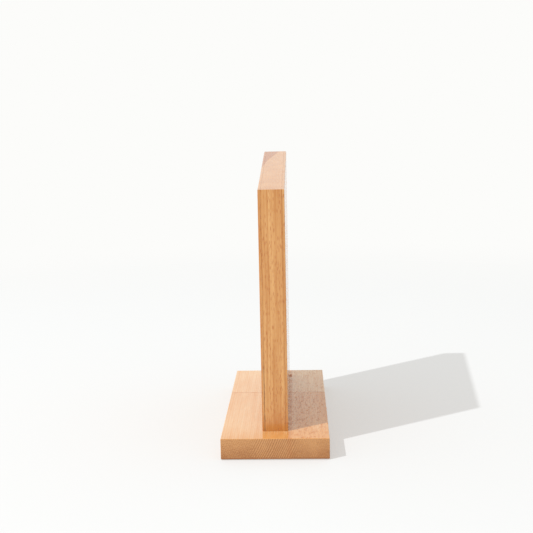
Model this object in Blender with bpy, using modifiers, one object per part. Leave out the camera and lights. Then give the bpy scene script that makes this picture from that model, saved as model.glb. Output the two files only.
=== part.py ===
"""Double-sided magnetic knife stand in beech.

A thick board stands on edge along the middle of a flat base. It is a core with a thin cover
board on each broad face, and the pockets in the core hold two rows of disc magnets behind each
cover. Two dowels and three screws from below hold it to the base, which is two lengths of board
finger-jointed end to end, on four round feet.

Frame: metres, +Z up, the front towards -Y, the broad faces looking along -X and +X. The origin
is on the surface that the feet stand on, under the middle of the base.
"""

import math

import bmesh
import bpy
from mathutils import Matrix

# Driving dimensions, in metres
GAP = 0.0003  # left between pieces that touch

FOOT_PROUD = 0.0007
FOOT_RADIUS = 0.006
FOOT_HEIGHT = 0.0027
FOOT_INSET = 0.013  # from the base's edges to a foot's centre

BASE_WIDTH = 0.102
BASE_DEPTH = 0.235
BASE_THICKNESS = 0.020
BASE_EASING = 0.0012
JOINT_Y = 0.0282  # where the two lengths of the base meet on top
FINGER_COUNT = 4
FINGER_LENGTH = 0.010
FINGER_ROOT = 0.0034
FINGER_TIP = 0.0016

STAND_THICKNESS = 0.0248  # 25 mm stock after sanding
STAND_DEPTH = 0.194
STAND_FRONT_TOP = 0.2508  # height of the front end of the sloping top edge
TOP_SLOPE = math.radians(8.7)
COVER_THICKNESS = 0.0024
COVER_EASING = 0.0007

MAGNET_RADIUS = 0.010
MAGNET_THICKNESS = 0.0043
MAGNETS_IN_ROW = 5
MAGNET_SPACING = 0.038
MAGNET_ROWS = {"lower": 0.110, "upper": 0.205}  # height of each row

DOWEL_RADIUS = 0.004
DOWEL_LENGTH = 0.034
DOWEL_IN_BASE = 0.014
DOWEL_Y = 0.082
DOWEL_CHAMFER = 0.001

SCREW_Y = 0.055
SCREW_SINK = 0.0006
SCREW_LENGTH = 0.045
SCREW_HEAD_RADIUS = 0.0047
SCREW_SHANK_RADIUS = 0.0019
SCREW_THREAD_RADIUS = 0.0025
SCREW_SHANK_LENGTH = 0.019
SCREW_TIP_LENGTH = 0.006
RECESS_LENGTH = 0.0050
RECESS_WIDTH = 0.0011
RECESS_DEPTH = 0.0020

ROUND_SEGMENTS = 24

# Heights and planes that follow from them
BASE_BOTTOM = FOOT_PROUD
BASE_TOP = BASE_BOTTOM + BASE_THICKNESS
STAND_BOTTOM = BASE_TOP + GAP
STAND_BACK_TOP = STAND_FRONT_TOP + STAND_DEPTH * math.tan(TOP_SLOPE)
CORE_THICKNESS = STAND_THICKNESS - 2 * (COVER_THICKNESS + GAP)

X_ALONG_BOARD = Matrix(((0, 0, 1, 0), (1, 0, 0, 0), (0, 1, 0, 0), (0, 0, 0, 1)))


def clear_scene():
    for obj in list(bpy.data.objects):
        bpy.data.objects.remove(obj, do_unlink=True)


def new_collection(name):
    collection = bpy.data.collections.new(name)
    bpy.context.scene.collection.children.link(collection)
    return collection


def new_material(name, colour, roughness, metallic=0.0):
    material = bpy.data.materials.new(name)
    material.use_nodes = True
    shader = material.node_tree.nodes["Principled BSDF"]
    shader.inputs["Base Color"].default_value = (*colour, 1.0)
    shader.inputs["Roughness"].default_value = roughness
    shader.inputs["Metallic"].default_value = metallic
    return material


def add_part(name, mesh, material, place=None):
    part = bpy.data.objects.new(name, mesh)
    PARTS.objects.link(part)
    part.matrix_world = place or Matrix()
    mesh.materials.clear()
    mesh.materials.append(material)
    return part


def add_cutter(name, mesh, place=None):
    cutter = bpy.data.objects.new(name, mesh)
    CUTTERS.objects.link(cutter)
    cutter.matrix_world = place or Matrix()
    cutter.hide_render = True
    cutter.display_type = "WIRE"
    return cutter


def cut(part, cutter):
    boolean = part.modifiers.new(cutter.name, "BOOLEAN")
    boolean.operation = "DIFFERENCE"
    boolean.solver = "EXACT"
    boolean.object = cutter


def board_mesh(name, outline, thickness):
    """A board from its outline in Y and Z, centred on its own thickness."""
    curve = bpy.data.curves.new(name, "CURVE")
    curve.dimensions = "2D"
    curve.fill_mode = "BOTH"
    curve.extrude = thickness / 2
    spline = curve.splines.new("POLY")
    spline.points.add(len(outline) - 1)
    for point, (y, z) in zip(spline.points, outline):
        point.co = (y, z, 0.0, 1.0)
    spline.use_cyclic_u = True
    holder = bpy.data.objects.new(name, curve)
    PARTS.objects.link(holder)
    graph = bpy.context.evaluated_depsgraph_get()
    mesh = bpy.data.meshes.new_from_object(holder.evaluated_get(graph))
    bpy.data.objects.remove(holder)
    bpy.data.curves.remove(curve)
    shape = bmesh.new()
    shape.from_mesh(mesh)
    bmesh.ops.remove_doubles(shape, verts=shape.verts, dist=1e-6)
    bmesh.ops.dissolve_limit(
        shape, angle_limit=math.radians(1.0), verts=shape.verts, edges=shape.edges
    )
    bmesh.ops.recalc_face_normals(shape, faces=shape.faces)
    shape.to_mesh(mesh)
    shape.free()
    mesh.name = name
    return mesh


def ease_edges(part, radius, is_eased):
    """Rounds the edges whose midpoint passes the test, given in the part's own axes."""
    shape = bmesh.new()
    shape.from_mesh(part.data)
    weight = shape.edges.layers.float.new("bevel_weight_edge")
    for edge in shape.edges:
        middle = (edge.verts[0].co + edge.verts[1].co) / 2
        edge[weight] = 1.0 if is_eased(middle) else 0.0
    shape.to_mesh(part.data)
    shape.free()
    bevel = part.modifiers.new("eased edges", "BEVEL")
    bevel.limit_method = "WEIGHT"
    bevel.width = radius
    bevel.segments = 2


def round_mesh(name, radius, height):
    """A cylinder that stands on its own origin."""
    shape = bmesh.new()
    bmesh.ops.create_cone(
        shape,
        cap_ends=True,
        segments=ROUND_SEGMENTS,
        radius1=radius,
        radius2=radius,
        depth=height,
        matrix=Matrix.Translation((0.0, 0.0, height / 2)),
    )
    mesh = bpy.data.meshes.new(name)
    shape.to_mesh(mesh)
    shape.free()
    shade_round(mesh)
    return mesh


def box_mesh(name, size):
    shape = bmesh.new()
    bmesh.ops.create_cube(shape, size=1.0, matrix=Matrix.Diagonal((*size, 1.0)))
    mesh = bpy.data.meshes.new(name)
    shape.to_mesh(mesh)
    shape.free()
    return mesh


def shade_round(mesh):
    mesh.shade_smooth()
    mesh.set_sharp_from_angle(angle=math.radians(35.0))


def turned_mesh(name, profile):
    """A profile of (radius, height) points, given from the top down, as an open line."""
    mesh = bpy.data.meshes.new(name)
    points = [(radius, 0.0, height) for radius, height in profile]
    mesh.from_pydata(points, [(i, i + 1) for i in range(len(points) - 1)], [])
    return mesh


def turn(obj):
    screw = obj.modifiers.new("turned", "SCREW")
    screw.axis = "Z"
    screw.steps = ROUND_SEGMENTS
    screw.render_steps = ROUND_SEGMENTS
    screw.use_merge_vertices = True
    screw.merge_threshold = 0.00001
    screw.use_smooth_shade = True


def at(x, y, z):
    return Matrix.Translation((x, y, z))


def finger_line(y_root, clearance):
    """The joint's zigzag, from the bottom of the board to the top."""
    pitch = BASE_THICKNESS / FINGER_COUNT
    line = []
    for finger in range(FINGER_COUNT):
        middle = BASE_BOTTOM + (finger + 0.5) * pitch
        root = FINGER_ROOT / 2 + clearance
        tip = FINGER_TIP / 2 + clearance
        line.append((y_root, middle - root))
        line.append((y_root + FINGER_LENGTH, middle - tip))
        line.append((y_root + FINGER_LENGTH, middle + tip))
        line.append((y_root, middle + root))
    return line


def make_base():
    front, back = -BASE_DEPTH / 2, BASE_DEPTH / 2
    front_outline = [(front, BASE_BOTTOM), (JOINT_Y, BASE_BOTTOM)]
    front_outline += finger_line(JOINT_Y, 0.0)
    front_outline += [(JOINT_Y, BASE_TOP), (front, BASE_TOP)]
    rear_y = JOINT_Y + GAP
    rear_outline = [(back, BASE_BOTTOM), (back, BASE_TOP), (rear_y, BASE_TOP)]
    rear_outline += reversed(finger_line(rear_y, GAP))
    rear_outline += [(rear_y, BASE_BOTTOM)]
    joint_middle = JOINT_Y + FINGER_LENGTH / 2

    def away_from_joint(middle):
        return abs(middle.x - joint_middle) > FINGER_LENGTH

    lengths = []
    for name, outline in (
        ("base_front_length", front_outline),
        ("base_rear_length", rear_outline),
    ):
        mesh = board_mesh(name, outline, BASE_WIDTH)
        length = add_part(name, mesh, BASE_BEECH, X_ALONG_BOARD)
        ease_edges(length, BASE_EASING, away_from_joint)
        lengths.append(length)
    return lengths


def stand_outline():
    front, back = -STAND_DEPTH / 2, STAND_DEPTH / 2
    return [
        (front, STAND_BOTTOM),
        (back, STAND_BOTTOM),
        (back, STAND_BACK_TOP),
        (front, STAND_FRONT_TOP),
    ]


def make_stand():
    core_mesh = board_mesh("core_board", stand_outline(), CORE_THICKNESS)
    core = add_part("core_board", core_mesh, STAND_BEECH, X_ALONG_BOARD)
    cover_x = CORE_THICKNESS / 2 + GAP + COVER_THICKNESS / 2
    for name, side in (("left_cover_board", -1), ("right_cover_board", 1)):
        mesh = board_mesh(name, stand_outline(), COVER_THICKNESS)
        cover = add_part(name, mesh, STAND_BEECH, at(side * cover_x, 0, 0) @ X_ALONG_BOARD)
        ease_edges(cover, COVER_EASING, lambda middle, side=side: side * middle.z > 0.0011)
    return core


def make_magnets(core):
    """Two rows behind each cover, each magnet in a pocket bored from that side."""
    face = CORE_THICKNESS / 2
    magnet = round_mesh("disc_magnet", MAGNET_RADIUS, MAGNET_THICKNESS)
    pocket = round_mesh(
        "magnet_pocket", MAGNET_RADIUS + GAP, MAGNET_THICKNESS + 2 * GAP
    )
    first_y = -MAGNET_SPACING * (MAGNETS_IN_ROW - 1) / 2
    for side_name, side in (("left", -1), ("right", 1)):
        outward = Matrix.Rotation(side * math.pi / 2, 4, "Y")
        for row, height in MAGNET_ROWS.items():
            for number in range(MAGNETS_IN_ROW):
                name = f"magnet_{side_name}_{row}_{number + 1}"
                y = first_y + number * MAGNET_SPACING
                seat = side * (face - MAGNET_THICKNESS)
                add_part(name, magnet, MAGNET_NICKEL, at(seat, y, height) @ outward)
                bottom = side * (face - MAGNET_THICKNESS - GAP)
                cutter = add_cutter(f"pocket_{name}", pocket, at(bottom, y, height) @ outward)
                cut(core, cutter)


def make_dowels(core, lengths):
    low = BASE_TOP - DOWEL_IN_BASE
    mesh = round_mesh("dowel", DOWEL_RADIUS, DOWEL_LENGTH)
    bore = round_mesh("dowel_bore", DOWEL_RADIUS + GAP, DOWEL_LENGTH + 2 * GAP)
    for name, y, length in (
        ("dowel_front", -DOWEL_Y, lengths[0]),
        ("dowel_rear", DOWEL_Y, lengths[1]),
    ):
        dowel = add_part(name, mesh, DOWEL_BEECH, at(0, y, low))
        bevel = dowel.modifiers.new("chamfered ends", "BEVEL")
        bevel.limit_method = "ANGLE"
        bevel.angle_limit = math.radians(60.0)
        bevel.width = DOWEL_CHAMFER
        bevel.segments = 1
        cutter = add_cutter(f"bore_{name}", bore, at(0, y, low - GAP))
        cut(core, cutter)
        cut(length, cutter)


def screw_profile(clearance):
    """From the point down to the flat of the head, which faces down."""
    head_cone = SCREW_HEAD_RADIUS - SCREW_SHANK_RADIUS
    head_rim = 0.0005
    sink = SCREW_SINK if clearance else 0.0
    return [
        (0.0, SCREW_LENGTH + clearance),
        (SCREW_THREAD_RADIUS + clearance, SCREW_LENGTH - SCREW_TIP_LENGTH),
        (SCREW_THREAD_RADIUS + clearance, SCREW_SHANK_LENGTH),
        (SCREW_SHANK_RADIUS + clearance, SCREW_SHANK_LENGTH - 0.001),
        (SCREW_SHANK_RADIUS + clearance, head_rim + head_cone),
        (SCREW_HEAD_RADIUS + clearance, head_rim),
        (SCREW_HEAD_RADIUS + clearance, -sink - clearance),
        (0.0, -sink - clearance),
    ]


def make_screws(core, lengths):
    low = BASE_BOTTOM + SCREW_SINK
    mesh = turned_mesh("wood_screw", screw_profile(0.0))
    bore = turned_mesh("screw_bore", screw_profile(GAP))
    slot = box_mesh("recess_slot", (RECESS_LENGTH, RECESS_WIDTH, 2 * RECESS_DEPTH))
    for name, y, length in (
        ("screw_front", -SCREW_Y, lengths[0]),
        ("screw_middle", 0.0, lengths[0]),
        ("screw_rear", SCREW_Y, lengths[1]),
    ):
        screw = add_part(name, mesh, ZINC_STEEL, at(0, y, low))
        turn(screw)
        for arm in range(2):
            turned = Matrix.Rotation(arm * math.pi / 2, 4, "Z")
            cut(screw, add_cutter(f"recess_{name}_{arm + 1}", slot, at(0, y, low) @ turned))
        cutter = add_cutter(f"bore_{name}", bore, at(0, y, low))
        turn(cutter)
        cut(core, cutter)
        cut(length, cutter)


def make_feet(lengths):
    mesh = round_mesh("foot", FOOT_RADIUS, FOOT_HEIGHT)
    seat = round_mesh("foot_seat", FOOT_RADIUS + GAP, FOOT_HEIGHT + GAP)
    x = BASE_WIDTH / 2 - FOOT_INSET
    y = BASE_DEPTH / 2 - FOOT_INSET
    for end, y_side, length in (("front", -1, lengths[0]), ("rear", 1, lengths[1])):
        for side, x_side in (("left", -1), ("right", 1)):
            name = f"foot_{end}_{side}"
            place = at(x_side * x, y_side * y, 0.0)
            add_part(name, mesh, FOOT_RUBBER, place)
            cut(length, add_cutter(f"seat_{name}", seat, place))


clear_scene()
PARTS = new_collection("magnetic_knife_stand")
CUTTERS = new_collection("cutters")
BASE_BEECH = new_material("base beech", (0.86, 0.57, 0.33), 0.45)
STAND_BEECH = new_material("stand beech", (0.76, 0.42, 0.18), 0.45)
DOWEL_BEECH = new_material("dowel beech", (0.80, 0.55, 0.33), 0.60)
MAGNET_NICKEL = new_material("magnet nickel", (0.72, 0.71, 0.69), 0.22, 1.0)
ZINC_STEEL = new_material("zinc-plated steel", (0.70, 0.69, 0.66), 0.35, 1.0)
FOOT_RUBBER = new_material("foot rubber", (0.10, 0.09, 0.08), 0.75)

BASE_LENGTHS = make_base()
CORE = make_stand()
make_magnets(CORE)
make_dowels(CORE, BASE_LENGTHS)
make_screws(CORE, BASE_LENGTHS)
make_feet(BASE_LENGTHS)
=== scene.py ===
import math
from functools import partial

import bmesh
import bpy
from mathutils import Matrix, Vector


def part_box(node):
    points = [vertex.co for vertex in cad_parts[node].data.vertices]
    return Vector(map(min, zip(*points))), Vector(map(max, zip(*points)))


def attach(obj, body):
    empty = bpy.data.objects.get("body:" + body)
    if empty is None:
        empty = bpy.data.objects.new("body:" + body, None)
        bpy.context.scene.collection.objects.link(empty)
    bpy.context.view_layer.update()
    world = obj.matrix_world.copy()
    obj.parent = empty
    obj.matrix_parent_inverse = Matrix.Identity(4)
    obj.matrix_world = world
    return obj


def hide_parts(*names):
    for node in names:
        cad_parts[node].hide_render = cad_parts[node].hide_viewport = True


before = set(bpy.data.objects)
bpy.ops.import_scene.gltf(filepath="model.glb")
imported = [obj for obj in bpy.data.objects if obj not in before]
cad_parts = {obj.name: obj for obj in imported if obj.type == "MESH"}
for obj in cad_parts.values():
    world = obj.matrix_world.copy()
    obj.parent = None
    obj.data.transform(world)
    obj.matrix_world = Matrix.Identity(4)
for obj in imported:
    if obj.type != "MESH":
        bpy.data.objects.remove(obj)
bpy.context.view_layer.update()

bl_info = {
    "name": "Beech Knife Stand",
    "version": (1, 0, 0),
    "blender": (4, 5, 0),
    "location": "View3D > Sidebar > Knife Stand",
    "description": "Finishes the boards, fittings and studio of a magnetic knife stand",
    "category": "Object",
}

BODY = "root"
MM = 0.001
CAD_GAP = 0.3 * MM  # between touching pieces
BORE_MARGIN = 0.1 * MM  # round and beyond the fittings in a bore
SCREW_BORE = 2.6 * MM  # radius round a screw's thread
EDGE_REACH = 0.1 * MM  # how near to a seam or a face an edge counts as its own
FOOT_GAP = 0.02 * MM  # under the standing board
SHARP_ANGLE = math.radians(35.0)  # edges that turn more than this stay hard
BASE_PITH = (-0.266, 0.133)  # where the heart of the base's log runs, in X and Z
STAND_PITH = (0.500, -0.0405)  # and of the standing board's log, in X and Y
RIGHT_COVER_PITH = (0.500, -0.060)
DARK_YEARS = 513.6  # millimetres from the pith to the standing board's dark years
OIL_IOR = 1.6  # a built-up oil finish shines a little more than bare oil
FLOOR_RADIUS = 1.6
FLOOR_FADE = (0.65, 1.5)  # how far out the paper is whole, and where it has melted away


# ---------------------------------------------------------------- frame sizes


def linear(code):
    """An sRGB hex colour as linear red, green and blue."""
    parts = [int(code[i : i + 2], 16) / 255 for i in (1, 3, 5)]
    return tuple(
        part / 12.92 if part <= 0.04045 else ((part + 0.055) / 1.055) ** 2.4
        for part in parts
    )


def middle_of(name):
    low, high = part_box(name)
    return (low + high) / 2


def underside(name):
    """Middle of a piece's underside."""
    middle = middle_of(name)
    return Vector((middle.x, middle.y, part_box(name)[0].z))


def top_at_front(name):
    """Height of a board's top edge at its front end."""
    vertices = [v.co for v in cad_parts[name].data.vertices]
    front = min(v.y for v in vertices)
    return max(v.z for v in vertices if v.y < front + 1.5 * MM)


def magnet_names():
    return [
        f"magnet_{side}_{row}_{number}"
        for side in ("left", "right")
        for row in ("lower", "upper")
        for number in range(1, 6)
    ]


# ------------------------------------------------------------------- settings


class BoardShape(bpy.types.PropertyGroup):
    base_easing: bpy.props.FloatProperty(
        name="Base easing",
        description="Radius sanded on the base's outer edges",
        default=1.1 * MM,
        unit="LENGTH",
        subtype="DISTANCE",
    )
    stand_easing: bpy.props.FloatProperty(
        name="Stand easing",
        description="Radius sanded on the standing board's outer edges",
        default=0.8 * MM,
        unit="LENGTH",
        subtype="DISTANCE",
    )
    glue_line: bpy.props.FloatProperty(
        name="Glue line",
        description="Width of the seam between two glued boards",
        default=0.03 * MM,
        unit="LENGTH",
        subtype="DISTANCE",
    )
    seam_chamfer: bpy.props.FloatProperty(
        name="Seam chamfer",
        description="Width taken off each board's corner along a seam",
        default=0.06 * MM,
        unit="LENGTH",
        subtype="DISTANCE",
    )
    finger_count: bpy.props.IntProperty(
        name="Fingers", description="Fingers in the base's end joint", default=4, min=1
    )
    finger_root: bpy.props.FloatProperty(
        name="Finger root",
        description="Thickness of a finger where it leaves its board",
        default=3.7 * MM,
        unit="LENGTH",
        subtype="DISTANCE",
    )
    finger_tip: bpy.props.FloatProperty(
        name="Finger tip",
        description="Thickness of a finger at its end",
        default=1.3 * MM,
        unit="LENGTH",
        subtype="DISTANCE",
    )


class BeechLook(bpy.types.PropertyGroup):
    base_pale: bpy.props.FloatVectorProperty(
        name="Base pale", description="Lightest planed wood of the base",
        subtype="COLOR", default=linear("#D6B68E"),
    )
    base_warm: bpy.props.FloatVectorProperty(
        name="Base warm", description="Darkest planed wood of the base",
        subtype="COLOR", default=linear("#C98F53"),
    )
    base_end_pale: bpy.props.FloatVectorProperty(
        name="Base end pale", description="Lightest end grain of the base",
        subtype="COLOR", default=linear("#C38D57"),
    )
    base_end_warm: bpy.props.FloatVectorProperty(
        name="Base end warm", description="Darkest end grain of the base",
        subtype="COLOR", default=linear("#985E2B"),
    )
    stand_pale: bpy.props.FloatVectorProperty(
        name="Stand pale", description="Lightest planed wood of the standing board",
        subtype="COLOR", default=linear("#D8A568"),
    )
    stand_warm: bpy.props.FloatVectorProperty(
        name="Stand warm", description="Darkest planed wood of the standing board",
        subtype="COLOR", default=linear("#B87839"),
    )
    stand_end_pale: bpy.props.FloatVectorProperty(
        name="Stand end pale", description="Lightest end grain of the standing board",
        subtype="COLOR", default=linear("#C8986A"),
    )
    stand_end_warm: bpy.props.FloatVectorProperty(
        name="Stand end warm", description="Darkest end grain of the standing board",
        subtype="COLOR", default=linear("#A86A3A"),
    )
    fleck: bpy.props.FloatVectorProperty(
        name="Fleck", description="The short brown ray flecks of beech",
        subtype="COLOR", default=linear("#A85F27"),
    )
    glue: bpy.props.FloatVectorProperty(
        name="Glue line", description="Dark line where two boards are glued",
        subtype="COLOR", default=linear("#6A3F22"),
    )
    roughness: bpy.props.FloatProperty(
        name="Roughness", description="Roughness of the oiled surface",
        default=0.07, min=0.0, max=1.0, subtype="FACTOR",
    )


class StudioLook(bpy.types.PropertyGroup):
    surroundings: bpy.props.FloatVectorProperty(
        name="Surroundings", description="White of the studio all round",
        subtype="COLOR", default=linear("#FCFCFA"),
    )
    floor: bpy.props.FloatVectorProperty(
        name="Floor", description="Colour of the floor paper",
        subtype="COLOR", default=(0.40, 0.40, 0.40),
    )
    floor_glow: bpy.props.FloatProperty(
        name="Floor glow", description="Light that comes up through the floor",
        default=0.365, min=0.0,
    )
    key_place: bpy.props.FloatVectorProperty(
        name="Key place", description="Where the key light hangs",
        subtype="TRANSLATION", unit="LENGTH", default=(-1.857, -1.259, 2.503),
    )
    key_colour: bpy.props.FloatVectorProperty(
        name="Key colour", description="Colour of the key light",
        subtype="COLOR", default=(0.97, 1.0, 1.02),
    )
    key_size: bpy.props.FloatProperty(
        name="Key size", description="Diameter of the key light's disc",
        default=0.05, unit="LENGTH", subtype="DISTANCE",
    )
    key_strength: bpy.props.FloatProperty(
        name="Key strength", description="Radiant strength of the key light", default=0.78
    )
    camera_place: bpy.props.FloatVectorProperty(
        name="Camera place", description="Where the camera stands",
        subtype="TRANSLATION", unit="LENGTH", default=(0.0240, -0.8976, 0.3046),
    )
    camera_lens: bpy.props.FloatProperty(
        name="Lens", description="Focal length on a 36 mm sensor",
        default=59.17, unit="CAMERA",
    )
    camera_pan: bpy.props.FloatProperty(
        name="Pan", description="Turn about the upright axis",
        default=math.radians(2.099), unit="ROTATION", subtype="ANGLE",
    )
    camera_tilt: bpy.props.FloatProperty(
        name="Tilt", description="Tilt up or down",
        default=math.radians(-8.859), unit="ROTATION", subtype="ANGLE",
    )
    camera_roll: bpy.props.FloatProperty(
        name="Roll", description="Turn about the line of sight",
        default=math.radians(1.152), unit="ROTATION", subtype="ANGLE",
    )


# ---------------------------------------------------------------- node helper


def add_node(tree, kind, inputs=(), **settings):
    """Adds a node with its settings. Inputs come in the sockets' order, or by name or place:
    another node stands for its first result, and anything but a socket is a fixed value."""
    made = tree.nodes.new(kind)
    for key, value in settings.items():
        setattr(made, key, value)
    for key, value in inputs.items() if isinstance(inputs, dict) else enumerate(inputs):
        if isinstance(value, bpy.types.Node):
            value = next(socket for socket in value.outputs if socket.enabled)
        if isinstance(value, bpy.types.NodeSocket):
            tree.links.new(value, made.inputs[key])
        else:
            made.inputs[key].default_value = value
    return made


MIX_A, MIX_B = 6, 7  # a colour Mix node's sockets


def new_material(name):
    """An empty material, and the function that adds a node to it."""
    material = bpy.data.materials.new(name)
    material.use_nodes = True
    material.node_tree.nodes.clear()
    return material, partial(add_node, material.node_tree)


# ------------------------------------------------------------------ materials

SEED_STEP = 517.0  # millimetres along the log from one board's wood to the next
RING_MEAN = 0.38  # darkness of a growth ring over its whole width
FACE_TURN = (0.55, 0.8)  # where an eased edge passes from one face to the next


def apart(add, one, other):
    """How far apart two values are."""
    difference = add("ShaderNodeMath", (one, other), operation="SUBTRACT")
    return add("ShaderNodeMath", (difference,), operation="ABSOLUTE")


def total(add, level, *shares):
    """A level with a share of each pattern added, held between 0 and 1."""
    for pattern, share in shares:
        level = add("ShaderNodeMath", (pattern, share, level), operation="MULTIPLY_ADD")
    level.use_clamp = True
    return level


def beech(name, part, grain, pith, ring_pitch, seed, tone=0.0, lean=0.0, figure=0.0,
          contrast=1.0, end_rings=1.0, band=None, shade_spans=(), dark_lines=(), fingers=None, spot=None):
    """Oiled beech, planed and sanded: straight streaks along the grain, short brown ray
    flecks, faint growth rings that turn to crisp lines on sawn ends, and a satin gloss.
    Patterns are worked out in millimetres, across the log from its pith and along the grain.
    """
    look = bpy.context.scene.beech_look
    pale, warm, end_pale, end_warm = (
        (*getattr(look, f"{part}_{kind}"), 1) for kind in ("pale", "warm", "end_pale", "end_warm")
    )
    material, add = new_material(name)
    place = add("ShaderNodeTexCoord").outputs
    world = add("ShaderNodeSeparateXYZ", (place["Object"],)).outputs
    across, along = ("Z", "Y") if grain == "Y" else ("Y", "Z")
    log = add("ShaderNodeCombineXYZ", (world["X"], world[across], world[along]))
    here = add(
        "ShaderNodeMapping",
        {
            "Vector": log, "Scale": (1 / MM, 1 / MM, 1 / MM),
            "Location": (-pith[0] / MM, -pith[1] / MM, seed * SEED_STEP),
        },
    )
    pith_distance = Vector(pith).length / MM

    # the trunk isn't straight: lines wander 1 mm over 40 mm across and 200 mm along
    slow = add("ShaderNodeVectorMath", (here, (0.025, 0.025, 0.005)), operation="MULTIPLY")
    wander = add("ShaderNodeTexNoise", {"Vector": slow, "Scale": 1.0, "Detail": 2.0})
    centred = add(
        "ShaderNodeVectorMath", (wander.outputs["Color"], (0.5, 0.5, 0.5)), operation="SUBTRACT",
    )
    shift = add("ShaderNodeVectorMath", (centred, (3.0, 3.0, 0.0)), operation="MULTIPLY")
    bent = add("ShaderNodeVectorMath", (here, shift), operation="ADD")

    # growth rings: distance from the pith over the ring pitch, and no two years alike. A year
    # starts pale, darkens to its late wood and stops short
    flat = add("ShaderNodeVectorMath", (bent, (1.0, 1.0, 0.0)), operation="MULTIPLY")
    radius = add("ShaderNodeVectorMath", (flat,), operation="LENGTH")
    years = add(
        "ShaderNodeTexNoise", {"W": radius, "Scale": 0.09, "Detail": 1.0}, noise_dimensions="1D",
    )
    count = add("ShaderNodeMath", (radius, ring_pitch), operation="DIVIDE")
    turns = add("ShaderNodeMath", (years, 0.8, count), operation="MULTIPLY_ADD")
    season = add("ShaderNodeMath", (turns,), operation="FRACT")
    ring = add("ShaderNodeValToRGB", (season,))
    year = ring.color_ramp.elements
    year[0].color, year[1].color = (0.35, 0.35, 0.35, 1), (0.4, 0.4, 0.4, 1)
    year.new(0.35).color = (0.0, 0.0, 0.0, 1)
    year.new(0.80).color = (1.0, 1.0, 1.0, 1)

    # streaks 4 mm wide and 150 mm long, fibres 0.5 mm wide and 20 mm long, clouds 15 mm wide
    # where the planed wood takes the oil unevenly, and pores 1 mm apart
    patterns = []
    for source, wide, long, detail, grit in (
        (bent, 0.3, 0.0066, 3.0, 0.6),
        (here, 1.8, 0.05, 2.0, 0.6),
        (here, 0.065, 0.03, 3.0, 0.5),
        (here, 1.0, 0.02, 3.0, 0.75),
    ):
        drawn = add("ShaderNodeVectorMath", (source, (wide, wide, long)), operation="MULTIPLY")
        pattern = {"Vector": drawn, "Scale": 1.0, "Detail": detail, "Roughness": grit}
        patterns.append(add("ShaderNodeTexNoise", pattern))
    streak, fibre, cloud, pores = patterns

    # ray flecks: brown dashes 0.4 mm wide and 2.5 mm long
    short = add("ShaderNodeVectorMath", (here, (1.05, 1.05, 0.16)), operation="MULTIPLY")
    cells = add("ShaderNodeTexVoronoi", {"Vector": short, "Scale": 1.0})
    strength = add("ShaderNodeSeparateColor", (cells.outputs["Color"],))
    dash = add(
        "ShaderNodeMapRange", (cells, 0.18, 0.46, 1.0, 0.0), interpolation_type="SMOOTHSTEP",
    )
    fleck = add("ShaderNodeMath", (dash, strength), operation="MULTIPLY")

    # any darker band of years, and spans of painted shade that darken the wood towards one end of
    # an axis
    end_drift = long_drift = tone
    if band:
        edge = add(
            "ShaderNodeMapRange", (radius, band, band + 0.8), interpolation_type="SMOOTHSTEP",
        )
        fade = add(
            "ShaderNodeMapRange", (radius, band + 4, band + 18, 1.0, 0.5),
            interpolation_type="SMOOTHSTEP",
        )
        end_drift = add("ShaderNodeMath", (edge, fade, tone), operation="MULTIPLY_ADD")
        long_drift = add("ShaderNodeMath", (end_drift, 0.3, 0.7 * tone), operation="MULTIPLY_ADD")
    for axis, deepest, shade_ends, share in shade_spans:
        shaded = add(
            "ShaderNodeMapRange", (world[axis], deepest, shade_ends, share, 0.0),
            interpolation_type="SMOOTHSTEP",
        )
        long_drift = add("ShaderNodeMath", (long_drift, shaded), operation="ADD")
        if axis != grain:
            end_drift = add("ShaderNodeMath", (end_drift, shaded), operation="ADD")

    # long grain: patterns mixed between the two wood tones, and the wood is darker and more
    # figured towards the bark. Patterns average a half, so half of their shares comes off
    outward = add(
        "ShaderNodeMapRange", (radius, pith_distance - 40, pith_distance + 40),
        interpolation_type="SMOOTHSTEP",
    )
    level = total(
        add, 0.5 - (2.0 * contrast + 0.8 + 0.5 + lean) / 2, (streak, 2.0 * contrast),
        (fibre, 0.8), (cloud, 0.5), (ring, 0.25), (outward, lean), (long_drift, 1.0),
    )
    long_wood = add("ShaderNodeMix", {0: level, MIX_A: pale, MIX_B: warm}, data_type="RGBA")
    mark = add("ShaderNodeMath", (fleck, 0.95), operation="MULTIPLY")
    if figure:
        # flat-sawn figure: patches 3 mm wide and 12 mm long
        drawn = add("ShaderNodeVectorMath", (here, (0.33, 0.33, 0.085)), operation="MULTIPLY")
        mottle = add(
            "ShaderNodeTexNoise",
            {"Vector": drawn, "Scale": 1.0, "Detail": 3.0, "Roughness": 0.7},
        )
        blotch = add(
            "ShaderNodeMapRange", (mottle, 0.46, 0.7, 0.0, figure), interpolation_type="SMOOTHSTEP",
        )
        bark = add(
            "ShaderNodeMapRange", (outward, 0.2, 0.8, 0.15, 1.0), interpolation_type="SMOOTHSTEP",
        )
        mark = add("ShaderNodeMath", (mark, blotch), operation="MAXIMUM")
        mark = add("ShaderNodeMath", (mark, bark), operation="MULTIPLY")
    flecked = add(
        "ShaderNodeMix", {0: mark, MIX_A: long_wood, MIX_B: (*look.fleck, 1)}, data_type="RGBA",
    )

    # end grain: open pores drink the oil, so it is darker, with ring lines and pale rays
    turn = add("ShaderNodeSeparateXYZ", (flat,)).outputs
    angle = add("ShaderNodeMath", (turn["Y"], turn["X"]), operation="ARCTAN2")
    around = add("ShaderNodeMath", (angle, pith_distance * 1.3), operation="MULTIPLY")
    out = add("ShaderNodeMath", (radius, 0.16), operation="MULTIPLY")
    from_pith = add("ShaderNodeCombineXYZ", (around, out))
    rays = add("ShaderNodeTexNoise", {"Vector": from_pith, "Scale": 1.0, "Detail": 2.0})
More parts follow.
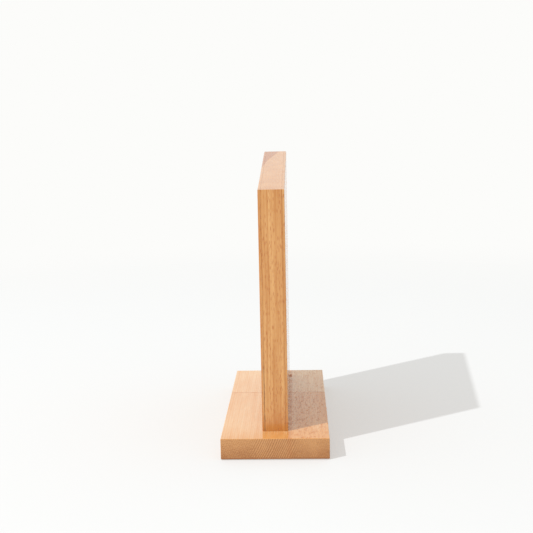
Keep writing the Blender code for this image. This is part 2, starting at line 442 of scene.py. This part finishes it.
    # ring lines are clear near the middle of a board and faint beyond
    off_middle = add("ShaderNodeMath", (world["X"],), operation="ABSOLUTE")
    clear = add(
        "ShaderNodeMapRange", (off_middle, 13 * MM, 25 * MM, 1.0, 0.2),
        interpolation_type="SMOOTHSTEP",
    )
    lines = add("ShaderNodeMath", (ring, RING_MEAN), operation="SUBTRACT")
    lines = add("ShaderNodeMath", (lines, clear), operation="MULTIPLY")
    level = total(
        add, -1.34, (pores, 2.8), (cloud, 0.9), (rays, -0.5), (lines, end_rings),
        (end_drift, 1.0),
    )
    end_wood = add("ShaderNodeMix", {0: level, MIX_A: end_pale, MIX_B: end_warm}, data_type="RGBA")

    facing = add("ShaderNodeSeparateXYZ", (place["Normal"],)).outputs
    endways = add("ShaderNodeMath", (facing[along],), operation="ABSOLUTE")
    is_end = add("ShaderNodeMapRange", (endways, *FACE_TURN), interpolation_type="SMOOTHSTEP")
    colour = add("ShaderNodeMix", {0: is_end, MIX_A: flecked, MIX_B: end_wood}, data_type="RGBA")
    dull = mark
    # dark lines: glued seams, and on the base a strip of painted shade beside the standing board
    for dark_colour, *dark_line in dark_lines:
        colour, dark = darken_line(add, world, colour, here, is_end, getattr(look, dark_colour), *dark_line)
        dull = add("ShaderNodeMath", (dull, dark), operation="MAXIMUM")
    if fingers:
        colour = stain_fingers(add, world, colour, look.fleck, *fingers)
    if spot:
        colour, dark = darken_spot(add, place["Object"], colour, look.fleck, *spot)
        dull = add("ShaderNodeMath", (dull, dark), operation="MAXIMUM")

    # the oil shines on smooth wood and less on dark marks, and the front, back and ends are
    # sanded less finely than the broad faces
    low, high = look.roughness - 0.03, look.roughness + 0.03
    rough = add(
        "ShaderNodeMapRange", (fibre, 0.2, 0.8, low, high), interpolation_type="SMOOTHSTEP",
    )
    rough = add("ShaderNodeMath", (dull, 0.6, rough), operation="MULTIPLY_ADD")
    lengthways = add("ShaderNodeMath", (facing["Y"],), operation="ABSOLUTE")
    coarse = add(
        "ShaderNodeMapRange", (lengthways, *FACE_TURN, 0.0, 0.14), interpolation_type="SMOOTHSTEP",
    )
    rough = add("ShaderNodeMath", (rough, coarse), operation="ADD")
    relief = add("ShaderNodeMath", (fleck, -0.6, fibre), operation="MULTIPLY_ADD")
    bump = add("ShaderNodeBump", {"Height": relief, "Strength": 0.05, "Distance": 0.05 * MM})
    shader = add(
        "ShaderNodeBsdfPrincipled",
        {"Base Color": colour, "Roughness": rough, "Normal": bump, "IOR": OIL_IOR},
    )
    add("ShaderNodeOutputMaterial", {"Surface": shader})
    return material


def darken_line(add, world, colour, here, is_end, dark_colour, axis, line_at, half, wobble, share,
               top_share):
    """Darkens the wood beside a line on the X or Y axis: a glued seam, or painted shade beside a
    standing board. The darkening is patchy, falls to its top share as the line rises, and halves on
    a sawn end."""
    sideways = 0.0 if axis == "X" else 0.08
    drawn = add("ShaderNodeVectorMath", (here, (sideways, sideways, 0.08)), operation="MULTIPLY")
    lift = add("ShaderNodeTexNoise", {"Vector": drawn, "Scale": 1.0, "Detail": 3.0})
    line = add("ShaderNodeMath", (lift, wobble, line_at - wobble / 2), operation="MULTIPLY_ADD")
    amount = add(
        "ShaderNodeMapRange", (apart(add, world[axis], line), 0.2 * half, half, 1.0, 0.0),
        interpolation_type="SMOOTHSTEP",
    )
    for span in (
        (lift, 0.35, 0.6, 0.35, 1.0),
        (world["Z"], 50 * MM, 120 * MM, share, top_share),
        (is_end, 0.0, 1.0, 1.0, 0.5),
    ):
        part = add("ShaderNodeMapRange", span, interpolation_type="SMOOTHSTEP")
        amount = add("ShaderNodeMath", (amount, part), operation="MULTIPLY")
    darkened = add("ShaderNodeMix", {0: amount, MIX_A: colour, MIX_B: (*dark_colour, 1)}, data_type="RGBA")
    return darkened, amount


def stain_fingers(add, world, colour, dark_colour, joint_y, length, low, pitch, root, tip):
    """Darkens the glue lines along the tapered flanks of an end joint's fingers."""
    flank = add("ShaderNodeMapRange", (world["Y"], joint_y, joint_y + length, root, tip))
    up = add("ShaderNodeMath", (world["Z"], low), operation="SUBTRACT")
    local = add("ShaderNodeMath", (up, pitch, 0.0), operation="WRAP")
    off = apart(add, apart(add, local, pitch / 2), flank)
    near = add(
        "ShaderNodeMapRange", (off, 0.08 * MM, 0.32 * MM, 0.6, 0.0),
        interpolation_type="SMOOTHSTEP",
    )
    reach = apart(add, world["Y"], joint_y + length / 2)
    inside = add(
        "ShaderNodeMapRange", (reach, length / 2, length / 2 + 0.3 * MM, 1.0, 0.0),
        interpolation_type="SMOOTHSTEP",
    )
    amount = add("ShaderNodeMath", (near, inside), operation="MULTIPLY")
    return add("ShaderNodeMix", {0: amount, MIX_A: colour, MIX_B: (*dark_colour, 1)}, data_type="RGBA")


def darken_spot(add, place, colour, dark_colour, x, y, z):
    """Darkens a spot at a place, five times as long as it is wide."""
    drawn = add("ShaderNodeVectorMath", (place, (1.0, 0.2, 1.0)), operation="MULTIPLY")
    off = add("ShaderNodeVectorMath", (drawn, (x, y * 0.2, z)), operation="DISTANCE")
    dark = add(
        "ShaderNodeMapRange", (off, 0.8 * MM, 2.0 * MM, 0.85, 0.0),
        interpolation_type="SMOOTHSTEP",
    )
    darkened = add("ShaderNodeMix", {0: dark, MIX_A: colour, MIX_B: (*dark_colour, 1)}, data_type="RGBA")
    return darkened, dark


def plated_metal(name, bright, dull, roughness):
    """Plated steel: bright metal with a faint cloudy bloom from the plating bath."""
    material, add = new_material(name)
    place = add("ShaderNodeTexCoord").outputs["Object"]
    bloom = add("ShaderNodeTexNoise", {"Vector": place, "Scale": 0.4 / MM, "Detail": 4.0})
    colour = add(
        "ShaderNodeMix",
        {0: bloom, MIX_A: (*linear(bright), 1), MIX_B: (*linear(dull), 1)}, data_type="RGBA",
    )
    rough = add(
        "ShaderNodeMapRange",
        {"Value": bloom, "To Min": roughness - 0.08, "To Max": roughness + 0.12},
    )
    shader = add(
        "ShaderNodeBsdfPrincipled", {"Base Color": colour, "Roughness": rough, "Metallic": 1.0}
    )
    add("ShaderNodeOutputMaterial", {"Surface": shader})
    return material


def moulded_rubber(name):
    """Moulded rubber: near black and dull, with a fine even grain off the mould."""
    material, add = new_material(name)
    place = add("ShaderNodeTexCoord").outputs["Object"]
    grain = add("ShaderNodeTexNoise", {"Vector": place, "Scale": 3.0 / MM, "Detail": 2.0})
    colour = add(
        "ShaderNodeMix",
        {0: grain, MIX_A: (*linear("#2B2724"), 1), MIX_B: (*linear("#3A3531"), 1)},
        data_type="RGBA",
    )
    bump = add("ShaderNodeBump", {"Height": grain, "Strength": 0.3, "Distance": 0.03 * MM})
    shader = add(
        "ShaderNodeBsdfPrincipled", {"Base Color": colour, "Roughness": 0.7, "Normal": bump}
    )
    add("ShaderNodeOutputMaterial", {"Surface": shader})
    return material


# ----------------------------------------------------------------- mesh tools


def add_turned(shape, profile, place, segments=48, radius_at=None):
    """Adds a closed turned solid. The profile has (radius, height) points from the bottom
    pole to the top pole, and radius_at can change a radius by its height and angle."""
    rings = []
    for radius, height in profile:
        if radius == 0.0:
            rings.append([shape.verts.new(place @ Vector((0.0, 0.0, height)))])
            continue
        ring = []
        for step in range(segments):
            angle = 2 * math.pi * step / segments
            reach = radius_at(radius, height, angle) if radius_at else radius
            corner = Vector((reach * math.cos(angle), reach * math.sin(angle), height))
            ring.append(shape.verts.new(place @ corner))
        rings.append(ring)
    for low, high in zip(rings, rings[1:]):
        for i in range(segments):
            j = (i + 1) % segments
            if len(low) == 1:
                shape.faces.new((low[0], high[j], high[i]))
            elif len(high) == 1:
                shape.faces.new((low[i], low[j], high[0]))
            else:
                shape.faces.new((low[i], low[j], high[j], high[i]))


def add_cylinder(shape, radius, low, high, place):
    add_turned(shape, [(0.0, low), (radius, low), (radius, high), (0.0, high)], place)


def mesh_from(shape, name):
    mesh = bpy.data.meshes.new(name)
    shape.to_mesh(mesh)
    shape.free()
    return mesh


def loose_object(name, data):
    obj = bpy.data.objects.new(name, data)
    bpy.context.scene.collection.objects.link(obj)
    return obj


def evaluated_mesh(obj):
    """A plain mesh of the object with its modifiers, which are then removed."""
    graph = bpy.context.evaluated_depsgraph_get()
    mesh = bpy.data.meshes.new_from_object(
        obj.evaluated_get(graph), preserve_all_data_layers=True, depsgraph=graph
    )
    obj.modifiers.clear()
    return mesh


def cut_away(obj, shape):
    """Cuts the solids in a bmesh from an object."""
    cutter = loose_object("cutter", mesh_from(shape, "cutter"))
    boolean = obj.modifiers.new("cut", "BOOLEAN")
    boolean.operation = "DIFFERENCE"
    boolean.solver = "EXACT"
    boolean.object = cutter
    obj.data = evaluated_mesh(obj)
    bpy.data.objects.remove(cutter)


def soften(obj):
    """Smooth shading that keeps the flat faces flat and the hard edges hard."""
    obj.data.shade_smooth()
    obj.data.set_sharp_from_angle(angle=SHARP_ANGLE)
    weighted = obj.modifiers.new("even normals", "WEIGHTED_NORMAL")
    weighted.keep_sharp = True
    weighted.weight = 100
    obj.data = evaluated_mesh(obj)


def board_object(name, outline, x_low, x_high, easings):
    """A board from its outline in Y and Z. Each easing is a radius and a test that says,
    from an edge's midpoint, whether that edge is rounded by it."""
    shape = bmesh.new()
    corners = [shape.verts.new((x_low, y, z)) for y, z in outline]
    side = shape.faces.new(corners)
    other = bmesh.ops.extrude_face_region(shape, geom=[side])["geom"]
    moved = [item for item in other if isinstance(item, bmesh.types.BMVert)]
    bmesh.ops.translate(shape, verts=moved, vec=(x_high - x_low, 0.0, 0.0))
    bmesh.ops.recalc_face_normals(shape, faces=shape.faces)
    for radius, is_eased in easings:
        edges = [
            edge
            for edge in shape.edges
            if is_eased((edge.verts[0].co + edge.verts[1].co) / 2)
        ]
        bmesh.ops.bevel(
            shape, geom=edges, offset=radius, segments=4 if radius > 0.3 * MM else 1,
            profile=0.5, affect="EDGES", clamp_overlap=True,
        )
    return loose_object(name, mesh_from(shape, name))


def finish_piece(obj, material, slot, *nodes):
    obj.data.name = obj.name
    obj.data.materials.clear()
    obj.data.materials.append(material)
    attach(obj, BODY)
    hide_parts(*nodes)


# --------------------------------------------------------- repeated fittings


def grid_tree():
    """Copies of one part in columns and rows, and if asked again turned half a turn."""
    tree = bpy.data.node_groups.new("Grid of parts", "GeometryNodeTree")
    face = tree.interface
    for label, kind in (
        ("Part", "NodeSocketObject"),
        ("Columns", "NodeSocketInt"),
        ("Rows", "NodeSocketInt"),
        ("First", "NodeSocketVector"),
        ("Column Step", "NodeSocketVector"),
        ("Row Step", "NodeSocketVector"),
        ("Tilt", "NodeSocketVector"),
        ("Turned Copy", "NodeSocketBool"),
        ("Material", "NodeSocketMaterial"),
    ):
        face.new_socket(label, in_out="INPUT", socket_type=kind)
    face.new_socket("Geometry", in_out="OUTPUT", socket_type="NodeSocketGeometry")
    add = partial(add_node, tree)
    given = add("NodeGroupInput").outputs
    columns = add(
        "GeometryNodeMeshLine",
        {
            "Count": given["Columns"], "Start Location": given["First"],
            "Offset": given["Column Step"],
        },
    )
    rows = add("GeometryNodeMeshLine", {"Count": given["Rows"], "Offset": given["Row Step"]})
    lattice = add("GeometryNodeInstanceOnPoints", {"Points": columns, "Instance": rows})
    places = add("GeometryNodeRealizeInstances", (lattice,))
    part = add("GeometryNodeObjectInfo", {"Object": given["Part"]})
    tilt = add("FunctionNodeEulerToRotation", {"Euler": given["Tilt"]})
    copies = add(
        "GeometryNodeInstanceOnPoints",
        {"Points": places, "Instance": part.outputs["Geometry"], "Rotation": tilt},
    )
    half_turn = add(
        "GeometryNodeTransform", {"Geometry": copies, "Rotation": (0.0, 0.0, math.pi)}
    )
    chosen = add(
        "GeometryNodeSwitch", {"Switch": given["Turned Copy"], "True": half_turn},
        input_type="GEOMETRY",
    )
    both = add("GeometryNodeJoinGeometry", (copies,))
    tree.links.new(chosen.outputs["Output"], both.inputs[0])
    real = add("GeometryNodeRealizeInstances", (both,))
    coloured = add("GeometryNodeSetMaterial", {"Geometry": real, "Material": given["Material"]})
    add("NodeGroupOutput", (coloured,))
    return tree


def repeated(name, part_mesh, material, **sizes):
    """A plain mesh object with the part repeated by the grid tree."""
    tree = bpy.data.node_groups.get("Grid of parts") or grid_tree()
    part = loose_object(f"{name}_part", part_mesh)
    holder = loose_object(name, bpy.data.meshes.new(name))
    grid = holder.modifiers.new("grid", "NODES")
    grid.node_group = tree
    values = {"Part": part, "Material": material, "Columns": 1, "Rows": 1}
    values.update({key.replace("_", " ").title(): value for key, value in sizes.items()})
    for item in tree.interface.items_tree:
        if item.in_out == "INPUT" and item.name in values:
            grid[item.identifier] = values[item.name]
    bpy.context.view_layer.update()
    holder.data = evaluated_mesh(holder)
    bpy.data.objects.remove(part)
    return holder


# ------------------------------------------------------------------ operators


def finger_line(shape, joint_y, length, low, high, clearance):
    """The end joint's zigzag from the bottom face of the base to the top face."""
    pitch = (high - low) / shape.finger_count
    line = []
    for finger in range(shape.finger_count):
        centre = low + (finger + 0.5) * pitch
        root = shape.finger_root / 2 + clearance
        tip = shape.finger_tip / 2 + clearance
        line += [
            (joint_y, centre - root),
            (joint_y + length, centre - tip),
            (joint_y + length, centre + tip),
            (joint_y, centre + root),
        ]
    return line


def bore_fittings(name, *kinds):
    """Solids to cut from a board: the bores of the fittings of these kinds that meet it."""
    low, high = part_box(name)
    shape = bmesh.new()
    for fitting in (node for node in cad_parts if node.startswith(kinds)):
        part_low, part_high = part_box(fitting)
        centre = (part_low + part_high) / 2
        if not low.y < centre.y < high.y:
            continue
        place = Matrix.Translation((centre.x, centre.y, 0.0))
        radius = (part_high.x - part_low.x) / 2 + BORE_MARGIN
        bottom, top = part_low.z, part_high.z + BORE_MARGIN
        if fitting.startswith("screw"):
            mouth, sink, neck = bottom - 2 * MM, bottom + 0.6 * MM, bottom + 3.4 * MM
            profile = [
                (0.0, mouth), (radius, mouth), (radius, sink), (SCREW_BORE, neck),
                (SCREW_BORE, top), (0.0, top),
            ]
            add_turned(shape, profile, place)
        else:
            add_cylinder(shape, radius, bottom - BORE_MARGIN, top, place)
    return shape


class KNIFESTAND_OT_base(bpy.types.Operator):
    """Make the base from two lengths of beech, finger-jointed end to end"""

    bl_idname = "knifestand.base"
    bl_label = "Base"
    bl_options = {"REGISTER", "UNDO"}

    def execute(self, context):
        sizes = context.scene.board_shape
        front_low, front_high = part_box("base_front_length")
        rear_low, rear_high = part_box("base_rear_length")
        low, high = front_low.z, front_high.z
        joint_y = rear_low.y - CAD_GAP / 2
        length = front_high.y - joint_y
        front_line = finger_line(sizes, joint_y, length, low, high, 0.0)
        rear_line = finger_line(
            sizes, joint_y + sizes.glue_line, length, low, high, sizes.glue_line / 4
        )
        front = [(front_low.y, low), (joint_y, low), *front_line, (joint_y, high),
                 (front_low.y, high)]
        start = joint_y + sizes.glue_line
        rear = [(rear_high.y, low), (rear_high.y, high), (start, high),
                *reversed(rear_line), (start, low)]

        def is_outer(middle):
            return abs(middle.y - joint_y - length / 2) > length

        fingers = (
            joint_y, length, low, (high - low) / sizes.finger_count,
            sizes.finger_root / 2, sizes.finger_tip / 2,
        )
        stand_right, stand_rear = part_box("right_cover_board")[1].xy
        # a dark spot on the base's top by the standing board's rear right corner
        corner_spot = (stand_right + 1.3 * MM, stand_rear - 3.0 * MM, high)  # in the base's top
        # colour, axis, place, half width, wobble, share and top share of each dark line
        dark_lines = [
            ("fleck", "Y", joint_y, 1.5 * MM, 0.4 * MM, 0.6, 0.6),
            # painted shade on the base's top beside the standing board's right side, where the
            # board shades it
            ("fleck", "X", stand_right + 1.2 * MM, 3.2 * MM, 1.0 * MM, 0.45, 0.45),
        ]
        # axis, the darkest place and the place where the painted shade ends, and share of each span
        # of painted shade
        shade_spans = [
            # painted shade: darker towards the bottom of the base, and in a line along its bottom
            # edge
            ("Z", low, high, 0.35),
            ("Z", low + 1.2 * MM, low + 2.2 * MM, 0.4),
            # painted shade: darker towards the front end, standing in for the weaker reflection
            # there
            ("Y", front_low.y, front_low.y + 40 * MM, 0.5),
        ]
        for name, outline, seed, tone, lean, figure, spot in (
            ("base_front_length", front, 1, 0.05, 0.42, 0.55, None),
            ("base_rear_length", rear, 2, -0.30, -0.20, 0.2, corner_spot),
        ):
            board = board_object(
                f"{name}_beech", outline, front_low.x, front_high.x,
                [(sizes.base_easing, is_outer)],
            )
            cut_away(board, bore_fittings(name, "screw", "dowel", "foot"))
            soften(board)
            wood = beech(
                f"oiled beech, {name.replace('_', ' ')}", "base", "Y",
                BASE_PITH, 1.9, seed, tone, lean, figure, contrast=0.6,
                end_rings=1.2, shade_spans=shade_spans, dark_lines=dark_lines, fingers=fingers, spot=spot,
            )
            finish_piece(board, wood, "base_beech", name)
        return {"FINISHED"}


class KNIFESTAND_OT_stand(bpy.types.Operator):
    """Make the standing board: a core with magnet pockets between two cover boards"""

    bl_idname = "knifestand.stand"
    bl_label = "Standing board"
    bl_options = {"REGISTER", "UNDO"}

    def execute(self, context):
        sizes = context.scene.board_shape
        core_low, core_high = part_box("core_board")
        left_low, left_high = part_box("left_cover_board")
        right_low, right_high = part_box("right_cover_board")
        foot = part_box("base_front_length")[1].z + FOOT_GAP
        outline = [
            (core_low.y, foot), (core_high.y, foot), (core_high.y, core_high.z),
            (core_low.y, top_at_front("core_board")),
        ]
        left_seam = (left_high.x + core_low.x) / 2
        right_seam = (right_low.x + core_high.x) / 2
        half = sizes.glue_line / 2

        def on_seam(middle):
            near = min(abs(middle.x - dark_line) for dark_line in (left_seam, right_seam)) < EDGE_REACH
            return near and middle.z > foot + MM

        def on_outside(middle):
            return abs(middle.x) > right_high.x - EDGE_REACH and middle.z > foot + MM

        boards = (
            ("core_board", left_seam + half, right_seam - half, 3, STAND_PITH),
            ("left_cover_board", left_low.x, left_seam - half, 3, STAND_PITH),
            ("right_cover_board", right_seam + half, right_high.x, 5, RIGHT_COVER_PITH),
        )
        dark_lines = [
            ("glue", "X", left_seam, 0.7 * MM, 1.0 * MM, 0.85, 0.15),
            ("glue", "X", right_seam, 0.5 * MM, 0.6 * MM, 0.30, 0.20),
        ]
        for name, x_low, x_high, seed, pith in boards:
            board = board_object(
                f"{name}_beech", outline, x_low, x_high,
                [(sizes.stand_easing, on_outside), (sizes.seam_chamfer, on_seam)],
            )
            if name == "core_board":
                cut_away(board, self.pockets())
                cut_away(board, bore_fittings(name, "screw", "dowel"))
            soften(board)
            wood = beech(
                f"oiled beech, {name.replace('_', ' ')}", "stand", "Z", pith, 3.1, seed,
                contrast=1.1, end_rings=0.15, band=DARK_YEARS,
                # painted shade: darker towards the foot, where the board stands on the base
                shade_spans=[("Z", foot, foot + 27 * MM, 0.42)], dark_lines=dark_lines,
            )
            finish_piece(board, wood, "stand_beech", name)
        return {"FINISHED"}

    def pockets(self):
        """The flat-bottomed pockets that the disc magnets are glued into."""
        shape = bmesh.new()
        for name in magnet_names():
            low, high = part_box(name)
            centre = (low + high) / 2
            side = math.copysign(1.0, centre.x)
            outward = Matrix.Rotation(side * math.pi / 2, 4, "Y")
            place = Matrix.Translation(centre) @ outward
            radius = (high.y - low.y) / 2 + BORE_MARGIN
            half = (high.x - low.x) / 2
            add_cylinder(shape, radius, -half - BORE_MARGIN, half + MM, place)
        return shape


class KNIFESTAND_OT_magnets(bpy.types.Operator):
    """Make the disc magnets, two rows of five behind each cover board"""

    bl_idname = "knifestand.magnets"
    bl_label = "Magnets"
    bl_options = {"REGISTER", "UNDO"}

    def execute(self, context):
        low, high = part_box("magnet_right_lower_1")
        first = (low + high) / 2
        radius, half, corner = (high.y - low.y) / 2, (high.x - low.x) / 2, 0.4 * MM
        shape = bmesh.new()
        rim = [(math.sin(a), math.cos(a)) for a in (0.0, 0.4, 0.8, 1.2, math.pi / 2)]
        lower = [(radius - corner * (1 - s), -half + corner * (1 - c)) for s, c in rim]
        upper = [(r, -z) for r, z in reversed(lower)]
        add_turned(shape, [(0.0, -half), *lower, *upper, (0.0, half)], Matrix(), 64)
        step = middle_of("magnet_right_lower_2") - first
        row = middle_of("magnet_right_upper_1") - first
        nickel = plated_metal("nickel-plated magnet", "#C9C6BF", "#A9A59C", 0.25)
        magnets = repeated(
            "disc_magnets", mesh_from(shape, "disc_magnet"), nickel, columns=5, rows=2,
            first=first, column_step=step, row_step=row, tilt=(0.0, math.pi / 2, 0.0),
            turned_copy=True,
        )
        soften(magnets)
        finish_piece(magnets, nickel, "magnet_nickel", *magnet_names())
        return {"FINISHED"}


class KNIFESTAND_OT_dowels(bpy.types.Operator):
    """Make the fluted beech dowels between the standing board and the base"""

    bl_idname = "knifestand.dowels"
    bl_label = "Dowels"
    bl_options = {"REGISTER", "UNDO"}
    flutes: bpy.props.IntProperty(name="Flutes", description="Glue flutes", default=18)

    def execute(self, context):
        low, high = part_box("dowel_front")
        radius, length = (high.x - low.x) / 2, high.z - low.z
        chamfer, flute_depth = 1.0 * MM, 0.22 * MM

        def fluted(reach, height, angle):
            return reach - flute_depth * (0.5 - 0.5 * math.cos(self.flutes * angle))

        profile = [
            (0.0, 0.0), (radius - chamfer, 0.0), (radius, chamfer),
            (radius, length - chamfer), (radius - chamfer, length), (0.0, length),
        ]
        shape = bmesh.new()
        add_turned(shape, profile, Matrix(), self.flutes * 8, fluted)
        wood = beech("dry beech dowel", "base", "Z", (0.03, 0.02), 2.0, 6)
        dowels = repeated(
            "fluted_dowels", mesh_from(shape, "dowel"), wood, columns=2,
            first=underside("dowel_front"),
            column_step=middle_of("dowel_rear") - middle_of("dowel_front"),
        )
        soften(dowels)
        finish_piece(dowels, wood, "dowel_beech", "dowel_front", "dowel_rear")
        return {"FINISHED"}


class KNIFESTAND_OT_screws(bpy.types.Operator):
    """Make the countersunk wood screws that come up through the base"""

    bl_idname = "knifestand.screws"
    bl_label = "Screws"
    bl_options = {"REGISTER", "UNDO"}
    pitch: bpy.props.FloatProperty(
        name="Pitch", description="Rise of the thread in one turn", default=2.2 * MM,
        unit="LENGTH",
    )

    def execute(self, context):
        low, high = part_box("screw_front")
        head, length = (high.x - low.x) / 2, high.z - low.z
        shank, outer, root = 1.9 * MM, 2.5 * MM, 1.7 * MM
        thread_start, tip_start = 19 * MM, length - 6 * MM
        rim, cone_top = 0.5 * MM, 0.5 * MM + head - shank
        ridge_half = 0.22  # of the pitch

        def taper(height):
            return min(1.0, (length - height) / (length - tip_start))

        def threaded(reach, height, angle):
            if height <= thread_start:
                return reach
            turn = (height / self.pitch - angle / (2 * math.pi)) % 1.0
            ridge = max(0.0, 1.0 - abs(turn - 0.5) / ridge_half)
            return reach + (outer - root) * ridge * min(taper(height) * 1.3, 1.0)

        profile = [(0.0, 0.0), (head - 0.2 * MM, 0.0), (head, 0.15 * MM), (head, rim),
                   (shank, cone_top), (shank, thread_start)]
        steps = int((length - thread_start) / (self.pitch / 8))
        for step in range(1, steps):
            height = thread_start + step * self.pitch / 8
            profile.append((max(root * taper(height), 0.1 * MM), height))
        profile.append((0.0, length))
        shape = bmesh.new()
        add_turned(shape, profile, Matrix(), 32, threaded)
        screw = loose_object("screw", mesh_from(shape, "screw"))
        arm_size = Matrix.Diagonal((5.0 * MM, 1.1 * MM, 4.0 * MM, 1.0))
        for quarter in range(2):  # the two arms of the cross recess
            arm = bmesh.new()
            turned = Matrix.Rotation(quarter * math.pi / 2, 4, "Z")
            bmesh.ops.create_cube(arm, size=1.0, matrix=turned @ arm_size)
            cut_away(screw, arm)
        mesh = screw.data
        bpy.data.objects.remove(screw)
        zinc = plated_metal("zinc-plated steel", "#CFCBC0", "#B4AFA3", 0.32)
        screws = repeated(
            "wood_screws", mesh, zinc, columns=3, first=underside("screw_front"),
            column_step=middle_of("screw_middle") - middle_of("screw_front"),
        )
        soften(screws)
        finish_piece(
            screws, zinc, "screw_steel", "screw_front", "screw_middle", "screw_rear"
        )
        return {"FINISHED"}


class KNIFESTAND_OT_feet(bpy.types.Operator):
    """Make the four round feet that sit in seats under the base"""

    bl_idname = "knifestand.feet"
    bl_label = "Feet"
    bl_options = {"REGISTER", "UNDO"}

    def execute(self, context):
        low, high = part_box("foot_front_left")
        radius, height = (high.x - low.x) / 2, high.z - low.z
        profile = [
            (0.0, 0.0), (radius - 0.5 * MM, 0.0), (radius - 0.2 * MM, 0.1 * MM),
            (radius, 0.4 * MM), (radius, height - 0.2 * MM), (radius - 0.2 * MM, height),
            (0.0, height),
        ]
        shape = bmesh.new()
        add_turned(shape, profile, Matrix(), 64)
        corner = middle_of("foot_front_left")
        rubber = moulded_rubber("moulded rubber")
        feet = repeated(
            "rubber_feet", mesh_from(shape, "foot"), rubber, columns=2, rows=2,
            first=underside("foot_front_left"),
            column_step=middle_of("foot_front_right") - corner,
            row_step=middle_of("foot_rear_left") - corner,
        )
        soften(feet)
        finish_piece(
            feet, rubber, "foot_rubber", "foot_front_left", "foot_front_right",
            "foot_rear_left", "foot_rear_right",
        )
        return {"FINISHED"}


class KNIFESTAND_OT_stage(bpy.types.Operator):
    """Set the white floor and surroundings, the key light and the camera"""

    bl_idname = "knifestand.stage"
    bl_label = "Studio"
    bl_options = {"REGISTER", "UNDO"}

    def execute(self, context):
        look = context.scene.studio_look
        self.surroundings(context, look)
        self.floor(look)
        self.key_light(look)
        self.camera(context, look)
        context.scene.view_settings.view_transform = "Standard"
        return {"FINISHED"}

    def surroundings(self, context, look):
        world = bpy.data.worlds.new("white studio")
        world.use_nodes = True
        world.node_tree.nodes.clear()
        add = partial(add_node, world.node_tree)
        glow = add("ShaderNodeBackground", {"Color": (*look.surroundings, 1)})
        add("ShaderNodeOutputWorld", {"Surface": glow})
        context.scene.world = world

    def floor(self, look):
        """A disc of matt paper that melts into the surroundings towards its rim."""
        shape = bmesh.new()
        bmesh.ops.create_circle(shape, cap_ends=True, segments=96, radius=FLOOR_RADIUS)
        paper, add = new_material("matt paper floor")
        place = add("ShaderNodeTexCoord").outputs["Object"]
        far = add("ShaderNodeVectorMath", (place,), operation="LENGTH")
        fade = add(
            "ShaderNodeMapRange", (far, *FLOOR_FADE, 1.0, 0.0), interpolation_type="SMOOTHSTEP",
        )
        shader = add(
            "ShaderNodeBsdfPrincipled",
            {
                "Base Color": (*look.floor, 1), "Roughness": 0.9, "Specular IOR Level": 0.0,
                "Emission Color": (*look.surroundings, 1), "Emission Strength": look.floor_glow,
                "Alpha": fade,
            },
        )
        add("ShaderNodeOutputMaterial", {"Surface": shader})
        floor = loose_object("floor", mesh_from(shape, "floor"))
        floor.data.materials.append(paper)

    def key_light(self, look):
        lamp = bpy.data.lights.new("key", "AREA")
        lamp.shape = "DISK"
        lamp.size = look.key_size
        lamp.use_nodes = True
        lamp.node_tree.nodes.clear()
        add = partial(add_node, lamp.node_tree)
        even = add("ShaderNodeLightFalloff", {"Strength": look.key_strength})
        glow = add(
            "ShaderNodeEmission",
            {"Color": (*look.key_colour, 1), "Strength": even.outputs["Constant"]},
        )
        add("ShaderNodeOutputLight", {"Surface": glow})
        light = loose_object("key", lamp)
        light.location = look.key_place
        light.rotation_euler = Vector(look.key_place).to_track_quat("Z", "Y").to_euler()

    def camera(self, context, look):
        lens = bpy.data.cameras.new("camera")
        lens.lens = look.camera_lens
        lens.sensor_width = 36.0
        lens.clip_start = 0.01
        camera = loose_object("camera", lens)
        aim = (
            Matrix.Rotation(look.camera_pan, 4, "Z")
            @ Matrix.Rotation(look.camera_tilt, 4, "X")
            @ Matrix.Rotation(look.camera_roll, 4, "Y")
            @ Matrix.Rotation(math.pi / 2, 4, "X")
        )
        camera.matrix_world = Matrix.Translation(look.camera_place) @ aim
        context.scene.camera = camera


class KNIFESTAND_PT_panel(bpy.types.Panel):
    """Buttons for the knife stand, in the order they are run"""

    bl_idname = "KNIFESTAND_PT_panel"
    bl_label = "Knife Stand"
    bl_space_type = "VIEW_3D"
    bl_region_type = "UI"
    bl_category = "Knife Stand"

    def draw(self, context):
        layout = self.layout
        for settings in ("board_shape", "beech_look", "studio_look"):
            box = layout.box()
            group = getattr(context.scene, settings)
            for key in group.__annotations__:
                box.prop(group, key)
        for operator in OPERATORS:
            layout.operator(operator.bl_idname)


SETTINGS = {
    "board_shape": BoardShape,
    "beech_look": BeechLook,
    "studio_look": StudioLook,
}
OPERATORS = (
    KNIFESTAND_OT_stage,
    KNIFESTAND_OT_base,
    KNIFESTAND_OT_stand,
    KNIFESTAND_OT_magnets,
    KNIFESTAND_OT_dowels,
    KNIFESTAND_OT_screws,
    KNIFESTAND_OT_feet,
)
CLASSES = (*SETTINGS.values(), *OPERATORS, KNIFESTAND_PT_panel)


def register():
    for cls in CLASSES:
        bpy.utils.register_class(cls)
    for name, cls in SETTINGS.items():
        setattr(bpy.types.Scene, name, bpy.props.PointerProperty(type=cls))


def unregister():
    for name in SETTINGS:
        delattr(bpy.types.Scene, name)
    for cls in reversed(CLASSES):
        bpy.utils.unregister_class(cls)


def main():
    register()
    for operator in OPERATORS:
        area, name = operator.bl_idname.split(".")
        getattr(getattr(bpy.ops, area), name)()


if __name__ == "__main__":
    main()
